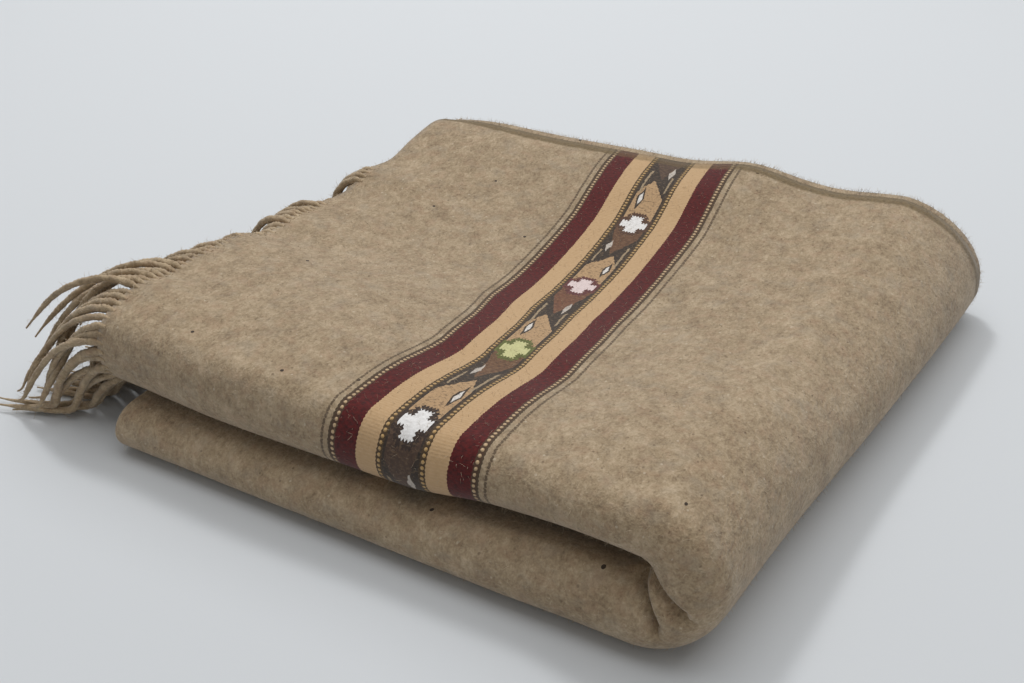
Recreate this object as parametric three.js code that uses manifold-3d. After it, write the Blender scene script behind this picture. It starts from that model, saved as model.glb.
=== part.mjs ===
// Wool shawl folded into a thick square packet, in millimetres, +Z up.
// The cloth is one sheet. It is pleated lengthwise into three layers, the layers are folded in three
// across the width around a puffy front roll, and the strip is doubled over at a big round fold.
// X runs along the warp from the fringed end (-X) to the round fold (+X), Y along the weft to the back.
// The origin is on the floor under the middle of the packet.
import * as THREE from "three";
import Module from "manifold-3d";

// Cloth and fold counts
const CLOTH = 2.2; // thickness of the fulled cloth
const LAYERS = 3; // lengthwise pleats that travel together
const LEGS = 3; // runs across the depth: top, bottom and the tucked middle one
const STACK = LAYERS * LEGS; // layers in each half of the packet
const DEPTH = 385; // nominal depth of the packet, front to back
const ROLL_PITCH = 4.2; // spacing of the layers around the front and back turns
const BACK_INSET = 17; // from the back edge of the top layer to the centre of the back turn
const EDGE_INSET = 2; // of the top layer's back edge from the nominal back
const STAGGER = 6.5; // each inner layer's back edge stands this much further out
const PLEAT_BULGE = 2; // how far a pleat's turn stands out at the left end

// Ends of the strip
const UPPER_END_FRONT = -208; // fringed edge at the front
const UPPER_END_BACK = -199; // fringed edge at the back
const END_SLANT_FROM = 0.5; // share of the depth where the edge starts to slant
const LOWER_END = -192; // rounded left end of the lower half
const PLEATS = [
  { upperSetback: 0, lowerSetback: 0 },
  { upperSetback: 7, lowerSetback: 0 },
  { upperSetback: 7, lowerSetback: 80 },
];

// Round fold at the right: centre of the turn, reach beyond it, and opening of the slit in layers
const FOLD_FRONT = { centre: 138, reach: 46, opening: 0.7 };
const FOLD_BACK = { centre: 170, reach: 62, opening: 0.3 };
const OPENING_DEPTH = 1 / 3; // share of the depth over which the slit's end closes
const OPENING_RUN = 0.5; // share of each half over which the slit opens towards the fold

// Upper half, a row for each section along X: front and back of the packet, height of the roll's
// crest, of the sagging middle and of the back, and the share of the depth the crest covers
const UPPER = [
  { x: -208, front: -177, back: 203, crest: 84, sag: 55, rear: 76, hump: 0.17 },
  { x: -120, front: -180, back: 206, crest: 80, sag: 53, rear: 74, hump: 0.15 },
  { x: 0, front: -178, back: 208, crest: 76, sag: 52, rear: 80, hump: 0.05 },
  { x: 60, front: -175, back: 210, crest: 78, sag: 56, rear: 86, hump: 0.05 },
  { x: 120, front: -180, back: 210, crest: 83, sag: 66, rear: 82, hump: 0.1 },
  { x: 175, front: -184, back: 210, crest: 86, sag: 74, rear: 84, hump: 0.12 },
];

// Lower half: the same columns for the slit between the halves
const LOWER = [
  { x: -208, front: -194, back: 203, crest: 30, sag: 25, rear: 32, hump: 0.1 },
  { x: -120, front: -193, back: 206, crest: 30, sag: 26, rear: 34, hump: 0.1 },
  { x: 0, front: -192, back: 208, crest: 32, sag: 27, rear: 36, hump: 0.1 },
  { x: 60, front: -192, back: 210, crest: 35, sag: 29, rear: 34, hump: 0.1 },
  { x: 120, front: -191, back: 210, crest: 40, sag: 31, rear: 30, hump: 0.1 },
  { x: 175, front: -190, back: 210, crest: 43, sag: 32, rear: 26, hump: 0.1 },
];
const SAG_AT = 0.58; // share of the depth where the top lies lowest
const REAR_RISE = 1.4; // power of the rise from there to the back

// Mesh steps along the strip and across it
const RUN_STEPS = 6;
const FOLD_STEPS = 7;
const PLEAT_STEPS = 3;
const EDGE_STEPS = 2;
const LEG_STEPS = 6;
const ROLL_STEPS = 6;
const TURN_STEPS = 4;
const LEG_CROWDING = 1.25; // steps along a leg grow from the roll to the back

// Fringe
const BACKING_GAP = 0.3; // between the cloth's end and the strip that holds the strands
const BACKING_WIDTH = 3.5;
const STRAND_PITCH = 8.4;
const STRAND_RADIUS = 2.7;
const STRAND_TIP_RADIUS = 1.6;
const STRAND_SIDES = 4;
const ROOT_RADIUS = 0.9; // where the strand is set into the backing
const ROOT_DEPTH = 1.6; // how far a strand is set into the backing
const NEAR = 0.02; // step along a strand that gives its direction

// How the strands of each leg hang at the front corner and further back: reach out from the edge,
// height of the tip, power of the droop, lift over the edge, how far a strand settles on the floor
// (0 for one that hangs free) and the share of its reach where it comes down, and steps along it
const HANG = {
  top: {
    front: { reach: 58, tip: 40, droop: 1.8, lift: 8, settle: 0, down: 0.8, steps: 4 },
    back: { reach: 42, tip: 12, droop: 1.5, lift: 6, settle: 0, down: 0.8, steps: 4 },
  },
  bottom: {
    front: { reach: 74, tip: 1.6, droop: 1.5, lift: 0, settle: 1, down: 0.8, steps: 5 },
    back: { reach: 58, tip: 1.6, droop: 1.1, lift: 0, settle: 1, down: 0.36, steps: 5 },
  },
  middle: {
    front: { reach: 56, tip: 20, droop: 1.5, lift: 0, settle: 0, down: 0.8, steps: 3 },
    back: { reach: 24, tip: 26, droop: 1.1, lift: 0, settle: 0, down: 0.36, steps: 3 },
  },
};
const CORNER = { from: -70, to: -145 }; // Y over which the hang changes from back to front
const ROLL_FAN = 20; // sideways spread of the strands that leave the front roll
const TURN_FAN = 12; // and of those that leave the back turn
const SWAY = { reach: 2.2, step: 0.35 }; // gentle sideways wave of the tips along the fringe
const UNEVEN = { share: 0.05, step: 2.4 }; // how the strands differ in length
const TAPER_FROM = 0.7; // share of a strand's length where it starts to thin out

const WOOL = new THREE.MeshStandardMaterial({ color: 0xa8967c, roughness: 0.95, metalness: 0 });
const FRINGE_WOOL = new THREE.MeshStandardMaterial({ color: 0x9a876c, roughness: 0.95, metalness: 0 });

const mix = (a, b, t) => a + (b - a) * t;
const clamp = (t) => Math.min(1, Math.max(0, t));
const smooth = (t) => clamp(t) ** 2 * (3 - 2 * clamp(t));

// A row of a table between its rows, eased from one to the next
function rowAt(table, x) {
  let i = 0;
  while (i < table.length - 2 && x > table[i + 1].x) i += 1;
  const t = smooth((x - table[i].x) / (table[i + 1].x - table[i].x));
  const row = {};
  for (const key of Object.keys(table[i])) row[key] = mix(table[i][key], table[i + 1][key], t);
  return row;
}

// Height over a section: crest at the front, sag behind it, rise to the back
function heightAt(row, y) {
  const t = (y - row.front) / (row.back - row.front);
  if (t < SAG_AT) return mix(row.crest, row.sag, smooth((t - row.hump) / (SAG_AT - row.hump)));
  return mix(row.sag, row.rear, smooth(clamp((t - SAG_AT) / (1 - SAG_AT)) ** REAR_RISE));
}

// The three-fold path of one layer across the depth, as nominal depth and level in the stack.
// offset counts layers from the outer face.
function sectionPath(offset) {
  const rollAt = (STACK / 2) * ROLL_PITCH;
  const turnAt = DEPTH - BACK_INSET;
  const legDepth = (j) => mix(rollAt, turnAt, (j / LEG_STEPS) ** LEG_CROWDING);
  const path = [];
  const add = (leg, depth, level) => path.push({ leg, depth, level });
  const edge = DEPTH - EDGE_INSET + STAGGER * (offset - 0.5);
  for (let j = 0; j < EDGE_STEPS; j += 1) add("top", mix(edge, turnAt, j / EDGE_STEPS), STACK - offset);
  for (let j = LEG_STEPS; j >= 0; j -= 1) add("top", legDepth(j), STACK - offset);
  const roll = STACK / 2 - offset;
  for (let j = 1; j < ROLL_STEPS; j += 1) {
    const angle = Math.PI / 2 - (Math.PI * j) / ROLL_STEPS;
    add("roll", rollAt - roll * ROLL_PITCH * Math.cos(angle), STACK / 2 + roll * Math.sin(angle));
  }
  for (let j = 0; j <= LEG_STEPS; j += 1) add("bottom", legDepth(j), offset);
  const turn = LAYERS - offset;
  for (let j = 1; j < TURN_STEPS; j += 1) {
    const angle = -Math.PI / 2 + (Math.PI * j) / TURN_STEPS;
    add("turn", turnAt + turn * ROLL_PITCH * Math.cos(angle), LAYERS + turn * Math.sin(angle));
  }
  for (let j = LEG_STEPS; j >= 0; j -= 1) add("middle", legDepth(j), 2 * LAYERS - offset);
  return path;
}

// Stations along the strip: upper half, round fold, lower half
function stripStations() {
  const stations = [];
  for (let j = 0; j < RUN_STEPS; j += 1) stations.push({ run: "upper", t: j / RUN_STEPS });
  for (let j = 0; j <= FOLD_STEPS; j += 1) stations.push({ run: "fold", t: j / FOLD_STEPS });
  for (let j = 1; j <= RUN_STEPS; j += 1) stations.push({ run: "lower", t: j / RUN_STEPS });
  return stations;
}

// Where a point of the strip lies in the folded packet
function placed(station, depth, level, pleat, bulge) {
  const share = depth / DEPTH;
  const centre = mix(FOLD_FRONT.centre, FOLD_BACK.centre, share);
  const reach = mix(FOLD_FRONT.reach, FOLD_BACK.reach, smooth(share));
  const opening = mix(FOLD_FRONT.opening, FOLD_BACK.opening, smooth(share / OPENING_DEPTH));
  const across = (row) => mix(row.front, row.back, share);
  if (station.run === "upper") {
    const slant = smooth((share - END_SLANT_FROM) / (1 - END_SLANT_FROM));
    const end = mix(UPPER_END_FRONT, UPPER_END_BACK, slant);
    const x = mix(end + pleat.upperSetback, centre, station.t) - bulge;
    const row = rowAt(UPPER, x);
    const y = across(row);
    const slit = heightAt(rowAt(LOWER, x), y);
    const gap = opening * smooth((station.t - 1 + OPENING_RUN) / OPENING_RUN);
    const z = mix(slit, heightAt(row, y), (level + gap) / (STACK + gap));
    return new THREE.Vector3(x, y, z);
  }
  if (station.run === "lower") {
    const x = mix(centre, LOWER_END + pleat.lowerSetback, station.t) - bulge;
    const row = rowAt(LOWER, x);
    const y = across(row);
    const gap = opening * smooth((OPENING_RUN - station.t) / OPENING_RUN);
    const z = mix(CLOTH / 2, heightAt(row, y), (STACK - 0.5 - level) / (STACK - 0.5 + gap));
    return new THREE.Vector3(x, y, z);
  }
  const angle = Math.PI * station.t;
  const upper = rowAt(UPPER, centre);
  const lower = rowAt(LOWER, centre);
  const y = mix(across(upper), across(lower), smooth(station.t));
  const slit = heightAt(lower, y);
  const radius = (level + opening) / (STACK + opening);
  const lowRadius = (level + opening) / (STACK - 0.5 + opening);
  const z = angle < Math.PI / 2
    ? slit + (heightAt(upper, across(upper)) - slit) * radius * Math.cos(angle)
    : slit + (slit - CLOTH / 2) * lowRadius * Math.cos(angle);
  return new THREE.Vector3(centre + reach * radius * Math.sin(angle), y, z);
}

// Middle surface of the sheet: rows along the strip, columns across the width
function sheetRows() {
  const rows = [];
  const addRow = (station, offset, pleat, bulge, backward) => {
    const points = sectionPath(offset).map((p) => placed(station, p.depth, p.level, pleat, bulge));
    rows.push({ points, run: station.run, backward });
  };
  for (let k = 0; k < LAYERS; k += 1) {
    const stations = stripStations();
    const backward = k % 2 === 1;
    if (backward) stations.reverse();
    for (const station of stations) addRow(station, k + 0.5, PLEATS[k], 0, backward);
    if (k === LAYERS - 1) break;
    const last = stations[stations.length - 1];
    for (let j = 1; j <= PLEAT_STEPS; j += 1) {
      const angle = (Math.PI * j) / (PLEAT_STEPS + 1);
      addRow(last, k + 1 - 0.5 * Math.cos(angle), PLEATS[k + 1], PLEAT_BULGE * Math.sin(angle), backward);
    }
  }
  return rows;
}

// Unit normals of the middle surface at its grid points
function gridNormals(grid) {
  const last = grid.length - 1;
  return grid.map((row, i) => row.map((_, j) => {
    const along = grid[Math.min(i + 1, last)][j].clone().sub(grid[Math.max(i - 1, 0)][j]);
    const across = row[Math.min(j + 1, row.length - 1)].clone().sub(row[Math.max(j - 1, 0)]);
    return along.cross(across).normalize();
  }));
}

// Closed solid of the sheet: both faces of the grid and its four edges.
// Layers that lie over each other split their quads along the same diagonal, so they stay parted.
function sheetGeometry(rows, legs) {
  const grid = rows.map((row) => row.points);
  const normals = gridNormals(grid);
  const columns = legs.length;
  const positions = [];
  for (const side of [0.5, -0.5]) {
    grid.forEach((row, i) => row.forEach((p, j) => {
      positions.push(...p.clone().addScaledVector(normals[i][j], side * CLOTH).toArray());
    }));
  }
  const half = grid.length * columns;
  const index = [];
  const quad = (a, b, c, d, turned) => {
    if (turned) index.push(a, b, d, b, c, d);
    else index.push(a, b, c, a, c, d);
  };
  const at = (i, j) => i * columns + j;
  for (let i = 0; i + 1 < grid.length; i += 1) {
    const near = rows[i].backward ? rows[i + 1] : rows[i];
    const forward = (near.run === "lower") === near.backward;
    for (let j = 0; j + 1 < columns; j += 1) {
      const turned = forward === (legs[j] === "bottom");
      const [a, b, c, d] = [at(i, j), at(i + 1, j), at(i + 1, j + 1), at(i, j + 1)];
      quad(a, b, c, d, turned);
      quad(half + d, half + c, half + b, half + a, !turned);
    }
  }
  const rim = [];
  for (let j = 0; j < columns; j += 1) rim.push(at(0, j));
  for (let i = 1; i < grid.length; i += 1) rim.push(at(i, columns - 1));
  for (let j = columns - 2; j >= 0; j -= 1) rim.push(at(grid.length - 1, j));
  for (let i = grid.length - 2; i > 0; i -= 1) rim.push(at(i, 0));
  rim.forEach((a, n) => {
    const b = rim[(n + 1) % rim.length];
    quad(a, b, half + b, half + a, false);
  });
  const geometry = new THREE.BufferGeometry();
  geometry.setAttribute("position", new THREE.Float32BufferAttribute(positions, 3));
  geometry.setIndex(index);
  return geometry;
}

// Narrow strip along the cloth's fringed end
function backingGeometry(edge, normals) {
  const positions = [];
  edge.forEach((p, j) => {
    for (const [side, out] of [[0.5, 0], [-0.5, 0], [-0.5, 1], [0.5, 1]]) {
      const q = p.clone().addScaledVector(normals[j], side * CLOTH);
      q.x -= BACKING_GAP + out * BACKING_WIDTH;
      positions.push(...q.toArray());
    }
  });
  return ringGeometry(positions, 4);
}

// Tube through rings of equal length, closed at both ends
function ringGeometry(positions, sides) {
  const rings = positions.length / 3 / sides;
  const index = [];
  for (let r = 0; r + 1 < rings; r += 1) {
    for (let s = 0; s < sides; s += 1) {
      const [a, b] = [r * sides + s, r * sides + ((s + 1) % sides)];
      index.push(a, b, b + sides, a, b + sides, a + sides);
    }
  }
  const end = (rings - 1) * sides;
  for (let s = 1; s + 1 < sides; s += 1) {
    index.push(0, s + 1, s);
    index.push(end, end + s, end + s + 1);
  }
  const geometry = new THREE.BufferGeometry();
  geometry.setAttribute("position", new THREE.Float32BufferAttribute(positions, 3));
  geometry.setIndex(index);
  return geometry;
}

// How a strand hangs, from the leg of the cloth, the level in the stack and the place along Y of its root
function hangAt(leg, level, y) {
  const blend = (from, to, t) => {
    const hang = {};
    for (const key of Object.keys(from)) hang[key] = mix(from[key], to[key], t);
    return hang;
  };
  const corner = smooth((y - CORNER.from) / (CORNER.to - CORNER.from));
  const of = (name) => blend(HANG[name].back, HANG[name].front, corner);
  if (leg === "roll") return blend(of("bottom"), of("top"), clamp(level / STACK));
  if (leg === "turn") return blend(of("bottom"), of("middle"), clamp(level / (2 * LAYERS)));
  return of(leg);
}

// One strand: it leaves the edge level, droops, and the lowest ones come to rest on the floor
function strandGeometry(root, hang, fan, number) {
  const reach = hang.reach * (1 + UNEVEN.share * Math.sin(number * UNEVEN.step));
  const drift = SWAY.reach * Math.sin(number * SWAY.step) + fan;
  const steps = Math.round(hang.steps);
  const radiusAt = (t) => {
    const body = mix(ROOT_RADIUS, STRAND_RADIUS, smooth(t * steps));
    return mix(body, STRAND_TIP_RADIUS, smooth((t - TAPER_FROM) / (1 - TAPER_FROM)));
  };
  const point = (t) => {
    const fall = mix(t ** hang.droop, smooth(t / hang.down), hang.settle);
    const z = mix(root.z, hang.tip, fall) + hang.lift * Math.sin(Math.PI * t);
    return new THREE.Vector3(root.x - reach * t, root.y + drift * t * t, Math.max(z, radiusAt(t)));
  };
  const positions = [];
  for (let n = 0; n <= steps; n += 1) {
    const t = n / steps;
    const ahead = point(Math.min(1, t + NEAR)).sub(point(Math.max(0, t - NEAR))).normalize();
    const side = new THREE.Vector3(0, 0, 1).cross(ahead).normalize();
    const up = ahead.clone().cross(side);
    const centre = point(t);
    if (n === 0) centre.x += ROOT_DEPTH;
    for (let s = 0; s < STRAND_SIDES; s += 1) {
      const angle = -Math.PI / 2 + (2 * Math.PI * s) / STRAND_SIDES;
      const q = centre.clone().addScaledVector(side, radiusAt(t) * Math.cos(angle));
      positions.push(...q.addScaledVector(up, radiusAt(t) * Math.sin(angle)).toArray());
    }
  }
  return ringGeometry(positions, STRAND_SIDES);
}

// Strands at even steps along the fringed end
function strandGeometries(edge, path) {
  const strands = [];
  let run = STRAND_PITCH / 2;
  for (let j = 0; j + 1 < edge.length; j += 1) {
    const length = edge[j].distanceTo(edge[j + 1]);
    for (; run < length; run += STRAND_PITCH) {
      const t = run / length;
      const root = edge[j].clone().lerp(edge[j + 1], t);
      root.x -= BACKING_GAP + BACKING_WIDTH;
      const level = mix(path[j].level, path[j + 1].level, t);
      const leg = path[j].leg === "top" && path[j + 1].leg === "roll" ? "roll" : path[j].leg;
      const spread = {
        roll: -ROLL_FAN * Math.sin((Math.PI * level) / STACK),
        turn: TURN_FAN * (1 - level / (2 * LAYERS)),
      };
      const fan = spread[leg] ?? 0;
      strands.push(strandGeometry(root, hangAt(leg, level, root.y), fan, strands.length));
    }
    run -= length;
  }
  return strands;
}

const wasm = await Module();
wasm.setup();

function toSolid(geometry) {
  const vertProperties = geometry.getAttribute("position").array;
  const triVerts = Uint32Array.from(geometry.getIndex().array);
  return new wasm.Manifold(new wasm.Mesh({ numProp: 3, vertProperties, triVerts }));
}

function toGeometry(solid) {
  const mesh = solid.getMesh();
  const geometry = new THREE.BufferGeometry();
  geometry.setAttribute("position", new THREE.Float32BufferAttribute(mesh.vertProperties, 3));
  geometry.setIndex(Array.from(mesh.triVerts));
  return geometry;
}

function namedMesh(name, geometry, material) {
  geometry.computeVertexNormals();
  const mesh = new THREE.Mesh(geometry, material);
  mesh.name = name;
  return mesh;
}

const shawl = new THREE.Group();

// Cloth
const rows = sheetRows();
const path = sectionPath(0.5);
shawl.add(namedMesh("shawl_cloth", sheetGeometry(rows, path.map((p) => p.leg)), WOOL));

// Fringe along the visible end
const edge = rows[0].points;
const edgeNormals = gridNormals(rows.map((row) => row.points))[0];
let fringe = toSolid(backingGeometry(edge, edgeNormals));
for (const strand of strandGeometries(edge, path)) fringe = fringe.add(toSolid(strand));
shawl.add(namedMesh("shawl_fringe", toGeometry(fringe), FRINGE_WOOL));

export default shawl;
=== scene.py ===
import math

import bpy
import numpy as np
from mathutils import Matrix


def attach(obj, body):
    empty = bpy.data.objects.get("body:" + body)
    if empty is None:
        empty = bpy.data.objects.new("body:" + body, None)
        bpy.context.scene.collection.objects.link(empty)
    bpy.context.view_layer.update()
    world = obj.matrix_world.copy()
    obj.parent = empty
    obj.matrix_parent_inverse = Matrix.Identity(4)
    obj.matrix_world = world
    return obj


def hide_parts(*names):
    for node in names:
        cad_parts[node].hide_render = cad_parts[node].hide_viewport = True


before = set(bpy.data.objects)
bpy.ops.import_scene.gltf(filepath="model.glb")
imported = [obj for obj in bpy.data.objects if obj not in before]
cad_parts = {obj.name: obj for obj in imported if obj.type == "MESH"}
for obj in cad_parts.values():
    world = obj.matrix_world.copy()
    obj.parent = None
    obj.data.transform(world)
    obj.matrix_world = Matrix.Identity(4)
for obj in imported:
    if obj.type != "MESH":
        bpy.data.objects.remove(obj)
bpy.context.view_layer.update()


# Shawl cloth: one length of heather wool, plain woven and fulled thick, with a flat woven border band.
# It is pleated lengthwise into three layers, folded in three across its width round a puffy front roll,
# and doubled over at a big round fold. The mesh is that one sheet, followed through all of its folds.

# Thickness, flat size, and layers in a pleat and in a half of the packet. Depth of the packet, pitch of
# the layers in its roll, and how far the tucked and the open edges stand back and lift
CLOTH = 0.0022
LAYERS = 3
STACK = 9
LOWEST = STACK - 0.5
DEPTH = 0.385
ROLL_PITCH = 0.0042
BACK_INSET = 0.017
EDGE_INSET = 0.002
STAGGER = 0.0085
EDGE_LIFT = 0.85
LIFT_FROM = 0.001
LIFT_RUN = 0.006

# X of the two halves' ends with the setback of each layer, bulge of a pleat's turn, and shape of the sag
UPPER_END = (-0.208, -0.199)
END_SLANT_FROM = 0.5
LOWER_END = -0.187
UPPER_SETBACK = (0.0, 0.007, 0.007)
LOWER_SETBACK = (0.0, 0.0, 0.080)
PLEAT_BULGE = 0.002
SAG_AT = 0.58
REAR_RISE = 1.4

# The round fold, each pair at the packet's front and back: its axis, how far it stands out, how loose its
# inside is in layers, and the powers that shape its upper and lower quarter, fuller if smaller
FOLD_CENTRE = (0.138, 0.170)
FOLD_REACH = (0.0452, 0.0640)
FOLD_OPENING = (0.7, 0.3)
FOLD_CROWN = (1.0, 1.22)
FOLD_SLUMP = (0.94, 0.62)
FOLD_LENGTH = 0.17
OPENING_DEPTH = 1 / 3
OPENING_RUN = 0.5

# Power by which the upper roll's face draws in under itself at the slit, and where along X that sets in
ROLL_UNDER = 1.8
UNDER_FROM = 0.0
UNDER_RUN = 0.08

# Sections along X of the upper half and of the slit under it: place, front and back of the packet,
# height of the front crest, of the sagging middle and of the back, and share of the depth under the crest
UPPER = np.array([
    (-0.208, -0.177, 0.203, 0.084, 0.062, 0.078, 0.17),
    (-0.120, -0.180, 0.206, 0.080, 0.055, 0.074, 0.15),
    (0.000, -0.178, 0.208, 0.076, 0.052, 0.076, 0.05),
    (0.060, -0.175, 0.210, 0.078, 0.056, 0.082, 0.05),
    (0.120, -0.180, 0.210, 0.083, 0.066, 0.078, 0.10),
    (0.175, -0.184, 0.210, 0.086, 0.074, 0.084, 0.12),
])
LOWER = np.array([
    (-0.208, -0.194, 0.203, 0.030, 0.025, 0.032, 0.10),
    (-0.120, -0.193, 0.206, 0.030, 0.026, 0.034, 0.10),
    (0.000, -0.192, 0.208, 0.032, 0.027, 0.036, 0.10),
    (0.060, -0.192, 0.210, 0.035, 0.029, 0.034, 0.10),
    (0.120, -0.191, 0.210, 0.040, 0.031, 0.030, 0.10),
    (0.175, -0.190, 0.210, 0.043, 0.032, 0.026, 0.10),
])

# Soft ridges and troughs of the top, listed one by one: middle, direction along it in degrees,
# half length, half width and height
CREASES = (
    (-0.100, 0.020, 20, 0.110, 0.030, -0.0020),
    (0.090, 0.060, -35, 0.100, 0.026, 0.0022),
    (-0.150, 0.130, 75, 0.060, 0.024, 0.0018),
    (0.025, -0.085, 5, 0.070, 0.022, -0.0025),
    (0.150, -0.060, 60, 0.080, 0.024, 0.0020),
    (0.020, 0.165, 10, 0.060, 0.020, 0.0025),
    (-0.060, -0.120, -15, 0.080, 0.024, 0.0015),
    (-0.204, 0.204, 45, 0.034, 0.024, -0.0060),
    (0.062, 0.205, 0, 0.026, 0.022, 0.0030),
)
# Puff of the lower half's front under the slit's end, in the same columns, and the share of it that the
# upper half gives way to
SLIT_PUFF = (0.102, -0.175, 0, 0.055, 0.013, 0.0080)
PUFF_UP = 0.55
# Two curved tucks where the slit runs out into the round fold, seen from the front: X and Z along each,
# half width below and above it, and depth. They fade out along Y, away from the front
LOWER_TUCK = ((0.1405, 0.0410), (0.1440, 0.0382), (0.148, 0.0345), (0.152, 0.0298), (0.1545, 0.0262))
UPPER_TUCK = ((0.143, 0.0500), (0.149, 0.0475), (0.1550, 0.0445), (0.161, 0.0412), (0.166, 0.0385))
TUCKS = (
    (LOWER_TUCK, 0.0036, 0.0022, 0.0115),
    (UPPER_TUCK, 0.0045, 0.0018, 0.0095),
)
TUCK_FROM = -0.145
TUCK_FADE = 0.030
# Waves of the fringed end: a long one, and a shorter one of a share of its height
EDGE_WAVE = {
    "height": 0.0022,
    "length": 0.078,
    "short": 0.047,
    "share": 0.5,
    "start": 1.0,
    "reach": 0.045,
}


def ease(t):
    t = np.clip(t, 0.0, 1.0)
    return t * t * (3.0 - 2.0 * t)


def between(a, b, t):
    return a + (b - a) * t


def section_at(table, x):
    """The columns of a table of sections at each x, eased from one section to the next."""
    i = np.clip(np.searchsorted(table[:, 0], x) - 1, 0, len(table) - 2)
    t = ease((x - table[i, 0]) / (table[i + 1, 0] - table[i, 0]))
    return between(table[i], table[i + 1], t[..., None])


def ridge(x, y, mid_x, mid_y, turn, half_length, half_width, height):
    along = (x - mid_x) * math.cos(math.radians(turn)) + (y - mid_y) * math.sin(math.radians(turn))
    aside = (y - mid_y) * math.cos(math.radians(turn)) - (x - mid_x) * math.sin(math.radians(turn))
    return height * np.exp(-((along / half_length) ** 2) - (aside / half_width) ** 2)


def creased(x, y):
    """Height of the listed ridges and troughs over the top."""
    rise = sum(ridge(x, y, *crease) for crease in CREASES)
    near_end = np.exp(-(((x - UPPER_END[0]) / EDGE_WAVE["reach"]) ** 2))
    wave = np.sin(2 * math.pi * y / EDGE_WAVE["length"])
    short_wave = np.sin(2 * math.pi * y / EDGE_WAVE["short"] + EDGE_WAVE["start"])
    return rise + EDGE_WAVE["height"] * near_end * (wave + EDGE_WAVE["share"] * short_wave)


def tucked(points):
    """Points of the front face pressed in along the tucks."""
    points = points.copy()
    front = ease((TUCK_FROM - points[..., 1]) / TUCK_FADE)
    for line, below, above, deep in TUCKS:
        away = np.full(points.shape[:-1], 1.0)
        half_width = np.full(points.shape[:-1], below)
        for (x0, z0), (x1, z1) in zip(line, line[1:]):
            run = np.array([x1 - x0, z1 - z0])
            off_x = points[..., 0] - x0
            off_z = points[..., 2] - z0
            at = np.clip((off_x * run[0] + off_z * run[1]) / (run @ run), 0.0, 1.0)
            off = np.hypot(off_x - at * run[0], off_z - at * run[1])
            over = run[0] * off_z - run[1] * off_x > 0
            half_width = np.where(off < away, np.where(over, above, below), half_width)
            away = np.minimum(away, off)
        points[..., 1] += deep * front * np.exp(-((away / half_width) ** 2))
    return points


def height_over(section, y):
    """Crest at the front, sag behind it, rise to the back."""
    _, front, back, crest, sag, rear, hump = np.moveaxis(section, -1, 0)
    share = (y - front) / (back - front)
    near = between(crest, sag, ease((share - hump) / (SAG_AT - hump)))
    far = between(sag, rear, ease(np.clip((share - SAG_AT) / (1 - SAG_AT), 0, 1) ** REAR_RISE))
    return np.where(share < SAG_AT, near, far)


def across(section, share):
    return between(section[..., 1], section[..., 2], share)


def roll_under(run, t):
    """How far the roll's face draws in under itself at the slit, along the strip."""
    if run == "upper":
        x = between(UPPER_END[0], FOLD_CENTRE[0], t)
        return between(1.0, ROLL_UNDER, ease((x - UNDER_FROM) / UNDER_RUN))
    if run == "fold":
        return between(ROLL_UNDER, 1.0, ease(2 * t))
    return 1.0


def width_path(offset, steps, under=1.0):
    """Depth and level in the stack of a layer, from back selvage round the roll to tucked edge."""
    top, roll, bottom, turn, middle = steps
    roll_at = STACK / 2 * ROLL_PITCH
    turn_at = DEPTH - BACK_INSET
    edge = DEPTH - EDGE_INSET + STAGGER * (offset - 0.5)
    bend = np.linspace(math.pi / 2, -math.pi / 2, roll + 1)
    tuck = np.linspace(-math.pi / 2, math.pi / 2, turn + 1)
    top_run = np.linspace(edge, roll_at, top + 1)[:-1]
    beyond = top_run - (DEPTH - EDGE_INSET + LIFT_FROM)
    lift = EDGE_LIFT * ease(beyond / LIFT_RUN) * ease(offset - 0.5)
    roll_radius = STACK / 2 - offset
    turn_radius = LAYERS - offset
    depth = np.concatenate([
        top_run,
        roll_at - roll_radius * ROLL_PITCH * np.cos(bend) ** np.where(bend < 0, under, 1.0),
        np.linspace(roll_at, turn_at, bottom + 1)[1:-1],
        turn_at + turn_radius * ROLL_PITCH * np.cos(tuck),
        np.linspace(turn_at, roll_at, middle + 1)[1:],
    ])
    level = np.concatenate([
        STACK - offset + lift,
        STACK / 2 + roll_radius * np.sin(bend),
        np.full(bottom - 1, offset),
        LAYERS + turn_radius * np.sin(tuck),
        np.full(middle, 2 * LAYERS - offset),
    ])
    return depth, level


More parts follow.
